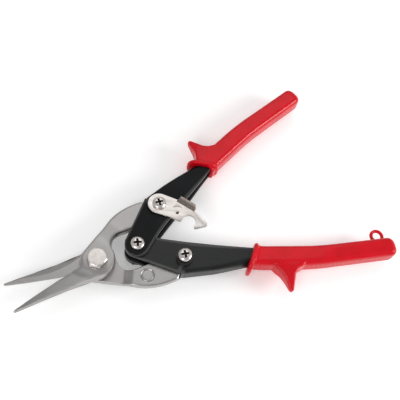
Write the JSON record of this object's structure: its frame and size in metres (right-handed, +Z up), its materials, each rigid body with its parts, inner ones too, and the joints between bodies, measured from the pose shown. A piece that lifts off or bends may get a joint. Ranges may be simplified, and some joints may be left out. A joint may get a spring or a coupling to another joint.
{
  "type": "aviation snips",
  "caption": "Compound-action straight-cut sheet metal snips with long thin blades, channel handles, dipped grips with thumb horns, a return spring and a hook latch.",
  "frame": {"origin": "centre of the bottom face of the main pivot's nut and bolt end, on the plane that the tool lies on", "axes": "+Z up along the main pivot, +X from the pivot towards the handles along the line between them, +Y towards the handle that carries the latch; the tool is open"},
  "size_m": [0.2351, 0.1406, 0.0246],
  "materials": {
    "jaw_steel": "forged tool steel, ground and satin polished",
    "handle_black": "pressed steel channel with glossy black paint",
    "grip_red": "glossy dip-moulded PVC",
    "bright_plate": "bright zinc or nickel plate",
    "bush_steel": "turned steel, lightly oiled",
    "spring_wire": "drawn spring wire",
    "post_black": "black oxide"
  },
  "bodies": {
    "lower_lever": {"lower_handle": "handle_black", "lower_grip": "grip_red", "lower_link_screw": "bright_plate", "lower_link_nut": "bright_plate", "lower_link_bush": "bush_steel", "lower_front_spacer": "bush_steel", "lower_rear_spacer": "bush_steel", "latch_post": "post_black", "hinge_spring": "spring_wire"},
    "upper_lever": {"upper_handle": "handle_black", "upper_grip": "grip_red", "hinge_screw": "bright_plate", "hinge_nut": "bright_plate", "hinge_bush": "bush_steel", "latch_screw": "bright_plate", "latch_screw_nut": "bright_plate", "upper_link_bush": "bush_steel", "upper_front_spacer": "bush_steel", "upper_rear_spacer": "bush_steel", "latch_washer": "bright_plate"},
    "rear_jaw": {"rear_blade": "jaw_steel", "pivot_bolt": "bright_plate", "pivot_washer": "bright_plate", "pivot_nut": "bright_plate"},
    "front_jaw": {"front_blade": "jaw_steel"},
    "latch_plate": {"latch": "bright_plate"}
  },
  "joints": [
    {"name": "handle_hinge", "type": "hinge", "parent": "lower_lever", "child": "upper_lever", "pos_m": [0.02594, 0, 0.0115], "axis": [0, 0, 1], "range_deg": [-36.5, 0], "stiffness_Nm_per_rad": 0.5, "springref_deg": 20.05, "deforming": ["hinge_spring"]},
    {"name": "lower_link", "type": "hinge", "parent": "lower_lever", "child": "rear_jaw", "pos_m": [0.04869, -0.01909, 0.0115], "axis": [0, 0, 1], "range_deg": [-9.1, 0]},
    {"name": "blade_pivot", "type": "hinge", "parent": "rear_jaw", "child": "front_jaw", "pos_m": [0, 0, 0.0115], "axis": [0, 0, 1], "range_deg": [-18.6, 0]},
    {"name": "latch_pivot", "type": "hinge", "parent": "upper_lever", "child": "latch_plate", "pos_m": [0.04869, 0.01909, 0.0115], "axis": [0, 0, 1], "range_deg": [-15.3, 0]}
  ],
  "couplings": [
    {"joint": "lower_link", "follows": "handle_hinge", "ratio": 0.2463},
    {"joint": "blade_pivot", "follows": "handle_hinge", "ratio": 0.5075}
  ]
}
